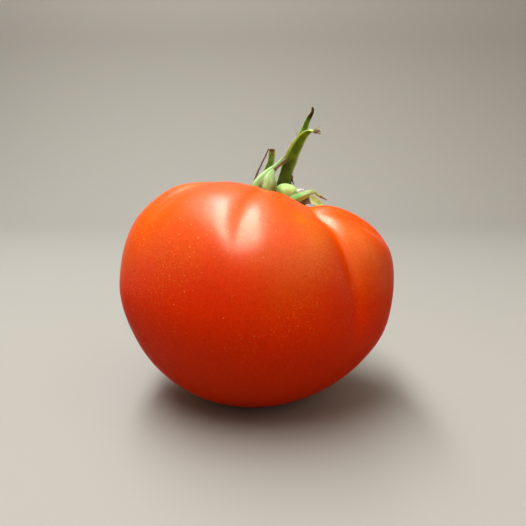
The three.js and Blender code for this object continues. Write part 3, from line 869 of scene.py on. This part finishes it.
def make_sepal(name, node, seed, hairs, outer_pale, inner_pale, yellow, margins, dry_from,
               fold=0.0, painted_shade_rims=(0.0, 0.0), dry_base=0.0, base_ends=0.0, painted_shade_inside=0.0, tan=0.0,
               slivers=(), slot="sepal", material=leaf_green, **shape):
    """A whole sepal with its slivers and hairs. Its left and right are as seen from the stem."""
    random = np.random.default_rng(seed)
    rings, share, across, facewise, frames = sepal_surface(seed, dry_from=dry_from, **shape)
    grid = np.ones(rings.shape[:2])
    outer_share = smoothstep(facewise, -FACE_BLUR, FACE_BLUR)[None] * grid
    dried_tip = smoothstep(share, dry_from - DRYING_BLUR, dry_from + DRYING_BLUR)
    dried_base = dry_base * (1 - smoothstep(share, base_ends - DRYING_BLUR, base_ends + DRYING_BLUR))
    dryness = np.maximum(dried_tip, dried_base)
    # The pale margins, and a pale band coloured like a folded-over margin on the upper half of the left
    # edge where the leaf has one.
    rim = np.where(across < 0, *margins) * smoothstep(np.abs(across), *MARGIN_ACROSS)
    rim = rim[None] * (MARGIN_AT_BASE + (1 - MARGIN_AT_BASE) * smoothstep(share, *MARGIN_ALONG))[:, None]
    folded = smoothstep(-across, 1 - FOLD_BLUR - fold, 1 + FOLD_BLUR - fold)[None]
    folded = folded * smoothstep(share, *FOLD_ALONG)[:, None]
    rim = np.maximum(rim, folded * margins[0] * (fold > 0))
    # Painted shade: the rims darken over the lower half where the sepal tucks behind a neighbour, in the
    # crease between them.
    shaded = np.where(across < 0, *painted_shade_rims) * smoothstep(np.abs(across), *DARK_RIM_ACROSS)
    shaded = shaded[None] * (1 - smoothstep(share, *DARK_RIM_ALONG))[:, None]
    vertices, faces = closed_rings(from_calyx(rings))
    # The inner face can be painted dried brown as painted shade, as under the arched sepal.
    values = leaf_values(
        len(vertices), yellow=yellow, tan=tan,
        pale=ring_values((outer_share * outer_pale + (1 - outer_share) * inner_pale) * (1 - shaded)),
        margin=ring_values(rim * (1 - shaded)),
        dry=ring_values(np.maximum(dryness[:, None] * grid, painted_shade_inside * (1 - outer_share))),
        along=ring_values(share[:, None] * grid),
        across=ring_values(across[None] * grid),
    )
    torn = [grow_sliver(rings, *sliver) for sliver in slivers]
    grown = grow_hairs(random, rings, frames, dryness, hairs)
    vertices, faces, values = joined([(vertices, faces, values), *torn, *grown])
    piece = make_piece(name, vertices, faces, material, values)
    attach(piece, "root")
    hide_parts(node)


# Each sliver: its place along the sepal, on the right edge (1) or the left (-1), its length and thickness,
# how dried, tan and pale it is, and the way it points.
make_sepal(
    "front_tall_sepal", "sepal_tall_front", seed=1, hairs=170,
    outer_pale=0.8, inner_pale=0.06, yellow=0.6, margins=(0.95, 0.25), fold=0.62, dry_from=0.93,
    slivers=[(0.93, 1, 3.2, 0.20, 0.6, 0.5, 0.8, (0.55, -0.1, 0.8)),
             (0.77, -1, 3.3, 0.15, 0.5, 0.7, 0.9, (-0.35, -0.2, 0.95)),
             (0.68, -1, 1.6, 0.13, 0.5, 0.7, 0.9, (-0.9, -0.2, 0.5)),
             (0.93, -1, 2.6, 0.42, 1.0, 0.0, 0.0, (0.98, -0.2, -0.14)),
             (0.99, -1, 0.9, 0.24, 0.6, 1.0, 1.0, (0.6, -0.2, 0.6)),
             (0.39, 1, 3.0, 0.42, 1.0, 0.0, 0.0, (0.15, -0.4, -0.9)),
             (0.35, 1, 2.4, 0.34, 1.0, 0.0, 0.0, (0.55, -0.3, -0.75))],
    facing=110,
    spine=[(-1.6, 4, 2.3), (-1.9, 4.5, 6), (-1.7, 4, 11), (-1.2, 3.2, 16), (-0.4, 2.4, 20),
           (0.7, 1.7, 23.6), (2.1, 1.1, 26.3), (3.8, 0.5, 27.8), (6, 0, 28.1), (7.5, -0.3, 28.2)],
    widths=[2.6, 4, 4.5, 4.3, 4.2, 4.5, 4.2, 3.3, 2, 0.8],
    turn=[0, 0, 10],
    cup=0.45,
)
make_sepal(
    "back_tall_sepal", "sepal_tall_back", seed=2, hairs=130,
    outer_pale=0.45, inner_pale=0.05, yellow=0.5, margins=(0.4, 0.3), dry_from=0.86,
    facing=62,
    spine=[(2.2, 3.8, 2.3), (1.9, 5.4, 6), (-0.1, 5.9, 11.5), (-0.2, 5.1, 17), (0.9, 4.3, 22.5),
           (2.5, 3.7, 27.5), (3.1, 3.1, 31), (4.1, 2.4, 33.8), (3.8, 2.1, 35.3)],
    widths=[2.6, 3.4, 3.4, 3.1, 2.9, 2.7, 2.3, 1.6, 0.6],
    turn=[0, 20, 20],
    cup=0.45,
)
make_sepal(
    "blunt_sepal", "sepal_blunt", seed=3, hairs=300,
    outer_pale=0.4, inner_pale=0.2, yellow=0.8, margins=(0.25, 0.25), dry_from=0.97,
    dry_base=0.40, base_ends=1.2,
    facing=148,
    spine=[(-3.6, 2.4, 2.4), (-6.6, 3.6, 6), (-7.6, 3.6, 10), (-7.1, 3.4, 13.3), (-6.2, 3.1, 17),
           (-6.4, 2.8, 21)],
    widths=[2.2, 3, 3, 2.4, 2, 2],
    turn=[0, -40, -55],
    cup=0.4,
)
make_sepal(
    "left_sepal", "sepal_left", seed=4, hairs=150,
    outer_pale=1.0, inner_pale=0.6, yellow=0.1, margins=(0.2, 0.2), dry_from=0.97,
    # The edge tucked behind the claw is darkened with painted shade.
    painted_shade_rims=(0.95, 0.0), tan=1.0,
    facing=-148,
    spine=[(-3.7, -2.3, 2.6), (-7.2, -3.6, 5.8), (-9.6, -4.4, 8.1), (-9, -4.8, 10.4), (-7.5, -4.7, 12.6),
           (-5.7, -4.3, 14.6), (-3.8, -3.7, 16.8), (-2.2, -3.2, 19.2)],
    widths=[2.3, 3, 3.6, 4.2, 4.6, 4.7, 4.4, 3, 1.3, 1, 0.7],
    turn=[0, 15, 30, 35],
    cup=0.5,
)
make_sepal(
    "claw_sepal", "sepal_claw", seed=5, hairs=160,
    outer_pale=1.0, inner_pale=0.5, yellow=0.2, margins=(0.2, 0.2), dry_from=0.75,
    # Both edges are darkened with painted shade, in the creases beside its neighbours.
    painted_shade_rims=(0.8, 0.9), tan=0.15,
    facing=-112,
    spine=[(-1.5, -4.1, 2.5), (-4.3, -6.7, 5.2), (-6.2, -7.9, 7.8), (-6.2, -8.2, 10), (-6.2, -7.6, 12),
           (-5.3, -6.5, 13.9), (-3.6, -5.6, 15.9), (-1.8, -5, 17.9)],
    widths=[2.3, 3, 3.8, 4.4, 4.8, 4.9, 4.7, 3.7, 1.7, 1.1, 0.9, 0.7],
    turn=[0, 0, 0],
    cup=0.55,
)
make_sepal(
    "arched_sepal", "sepal_arched", seed=6, hairs=120,
    outer_pale=1.0, inner_pale=0.1, yellow=0.1, margins=(0.2, 0.2), dry_from=0.80,
    # Its underside is painted dark brown: painted shade under the arch.
    painted_shade_inside=0.75, tan=0.7,
    facing=-40,
    spine=[(1.8, -3.9, 2.4), (1.5, -5.3, 4.4), (2.1, -5.7, 6.4), (3.7, -5.4, 7.4), (5.2, -5, 8.3),
           (6.7, -4.5, 9.2), (8.2, -4.1, 9.4), (9.7, -3.6, 8.7), (12.3, -2.4, 8)],
    widths=[2.3, 2.6, 2.7, 2.7, 2.5, 1.9, 1.2, 0.8, 0.5],
    turn=[-20, -45, -55, -55, -40],
    cup=0.4,
)
make_sepal(
    "curled_sepal", "sepal_curled", seed=7, hairs=90,
    outer_pale=0.7, inner_pale=1.0, yellow=0.9, margins=(0.2, 0.2), dry_from=1.1,
    # Its base is dark brown: partly dried tissue, partly painted shade under the arched sepal.
    dry_base=1.0, base_ends=0.57,
    facing=0,
    spine=[(4.3, 0, 2.3), (4.9, -0.2, 4.2), (5.9, -0.2, 5.8), (7.4, -0.1, 6.7), (9.1, 0.2, 6.6),
           (10.6, 0.5, 6.4), (11.6, 0.7, 6.6)],
    widths=[2.3, 2.8, 3.2, 3.4, 3.2, 2.4, 1.3],
    turn=[0, 30, 55, 55],
    cup=0.5,
)

# ----------------------------------------------------------------------------------------------------------
# Withered sepal
# The eighth sepal still holds to the disc's rim, but has shrivelled to a thin strip of brown fibre. It is
# brittle, wrinkled along its length and bare but for a few hairs.
# ----------------------------------------------------------------------------------------------------------
HUSK_BROWNS = ((0.060, 0.022, 0.008), (0.22, 0.115, 0.045))
HUSK_HAIR = (0.45, 0.36, 0.22)


def withered_brown():
    husk = Finish("withered_brown")
    fibres = husk.noise(1.0, detail=4, vector=husk.stretched(1800, 1800, 350))
    colour = husk.mix(husk.ramp(fibres, 0.35, 0.65), *HUSK_BROWNS)
    colour = husk.mix(husk.math("MULTIPLY", husk.attribute("hair"), 0.8), colour, HUSK_HAIR)
    wrinkles = husk.bump(fibres, 0.00015, 0.6)
    husk.set(Base_Color=colour, Roughness=0.75, Normal=wrinkles, IOR=1.4)
    return husk.material


make_sepal(
    "withered_sepal", "sepal_withered", seed=8, hairs=40, slot="sepal_dry", material=withered_brown(),
    outer_pale=0.3, inner_pale=0.3, yellow=0.3, margins=(0.3, 0.3), dry_from=-0.2,
    facing=180,
    spine=[(-4.3, 0.1, 2.5), (-7.4, -0.3, 5.2), (-9.9, -0.5, 8.3), (-9.9, -0.4, 11.6), (-8.7, -0.2, 16),
           (-7.3, 0.2, 20.7)],
    widths=[1.8, 1.6, 1.3, 1.0, 0.8, 0.65],
    turn=[0, 0, 0],
    cup=0.3,
)

# ----------------------------------------------------------------------------------------------------------
# Studio
# A floor of pale paper that sweeps up into a backdrop, in pale air. A long narrow lamp and a wider glow
# hang overhead at the left, and a broad warm fill stands high at the front right. The camera is a little
# higher than the fruit and looks slightly down at it.
# ----------------------------------------------------------------------------------------------------------
SWEEP_FRONT = -0.6
SWEEP_BEND = 0.45
SWEEP_RADIUS = 0.25
SWEEP_STEPS = 25
SWEEP_TOP = 0.9
SWEEP_HALF_WIDTH = 1.4
# What lights the object is darker than what the camera sees.
PAPER_LIGHT = (0.20, 0.17, 0.13)
PAPER_SEEN = (0.40, 0.38, 0.34)
AIR_LIGHT = (0.20, 0.17, 0.125)
AIR_SEEN = (0.42, 0.395, 0.345)


def seen_rays(tree):
    """1 for rays that show the background, directly or in gloss and glass, and 0 for those that light."""
    rays = tree.nodes.new("ShaderNodeLightPath")
    seen = rays.outputs["Is Camera Ray"]
    for other in ("Is Glossy Ray", "Is Transmission Ray"):
        either = tree.nodes.new("ShaderNodeMath")
        either.operation = "MAXIMUM"
        tree.links.new(seen, either.inputs[0])
        tree.links.new(rays.outputs[other], either.inputs[1])
        seen = either.outputs[0]
    return seen


def studio_sweep():
    steps = np.linspace(0, math.pi / 2, SWEEP_STEPS)
    profile = [(SWEEP_FRONT, 0.0)]
    profile += [(SWEEP_BEND + SWEEP_RADIUS * math.sin(a), SWEEP_RADIUS * (1 - math.cos(a))) for a in steps]
    profile += [(SWEEP_BEND + SWEEP_RADIUS, SWEEP_TOP)]
    vertices = [(x, y, z) for y, z in profile for x in (-SWEEP_HALF_WIDTH, SWEEP_HALF_WIDTH)]
    faces = [(2 * i, 2 * i + 1, 2 * i + 3, 2 * i + 2) for i in range(len(profile) - 1)]
    mesh = bpy.data.meshes.new("studio_sweep")
    mesh.from_pydata(vertices, [], faces)
    mesh.shade_smooth()
    paper = Finish("pale_paper")
    seen = seen_rays(paper.material.node_tree)
    paper.set(Base_Color=paper.mix(seen, PAPER_LIGHT, PAPER_SEEN), Roughness=0.9)
    mesh.materials.append(paper.material)
    sweep = bpy.data.objects.new("studio_sweep", mesh)
    bpy.context.scene.collection.objects.link(sweep)


LAMP_TINT = (0.96, 0.98, 1.0)
FILL_TINT = (1.0, 0.94, 0.84)
LAMP_AIM = Vector((0, 0, 0.035))


def soft_lamp(name, place, width, depth, power, tint):
    """An oval area lamp, aimed at the fruit's middle, whose depth runs front to back."""
    light = bpy.data.lights.new(name, "AREA")
    light.shape = "ELLIPSE"
    light.size = width
    light.size_y = depth
    light.energy = power
    light.color = tint
    lamp = bpy.data.objects.new(name, light)
    lamp.location = place
    back = (Vector(place) - LAMP_AIM).normalized()
    side = Vector((0, 1, 0)).cross(back).normalized()
    lamp.rotation_euler = Matrix((side, back.cross(side), back)).transposed().to_euler()
    bpy.context.scene.collection.objects.link(lamp)


studio_sweep()
soft_lamp("overhead_lamp", place=(-0.17, -0.05, 0.80), width=0.19, depth=1.4, power=8.7, tint=LAMP_TINT)
soft_lamp("overhead_glow", place=(-0.17, 0.14, 0.84), width=0.6, depth=2.2, power=4.2, tint=LAMP_TINT)
soft_lamp("front_fill", place=(0.55, -0.70, 1.05), width=2.0, depth=2.0, power=4.8, tint=FILL_TINT)

# The air shows as pale as the paper where the sweep ends.
world = bpy.data.worlds.new("studio_air")
world.use_nodes = True
air = world.node_tree
shade = air.nodes.new("ShaderNodeMix")
shade.data_type = "RGBA"
air.links.new(seen_rays(air), shade.inputs["Factor"])
shade.inputs[6].default_value = (*AIR_LIGHT, 1)
shade.inputs[7].default_value = (*AIR_SEEN, 1)
air.links.new(shade.outputs[2], air.nodes["Background"].inputs["Color"])
bpy.context.scene.world = world

CAMERA_DISTANCE = 0.170
CAMERA_HEIGHT = 0.0744
CAMERA_ASIDE = 0.0021
LOOKING_DOWN = math.radians(10.5)
LENS = 38.3
SENSOR_WIDTH = 36
NEAREST_SEEN = 0.01
camera_data = bpy.data.cameras.new("studio_camera")
camera_data.lens = LENS
camera_data.sensor_width = SENSOR_WIDTH
camera_data.clip_start = NEAREST_SEEN
camera = bpy.data.objects.new("studio_camera", camera_data)
camera.location = (CAMERA_ASIDE, -CAMERA_DISTANCE, CAMERA_HEIGHT)
camera.rotation_euler = (math.pi / 2 - LOOKING_DOWN, 0, 0)
bpy.context.scene.collection.objects.link(camera)
bpy.context.scene.camera = camera
bpy.context.scene.view_settings.view_transform = "Standard"
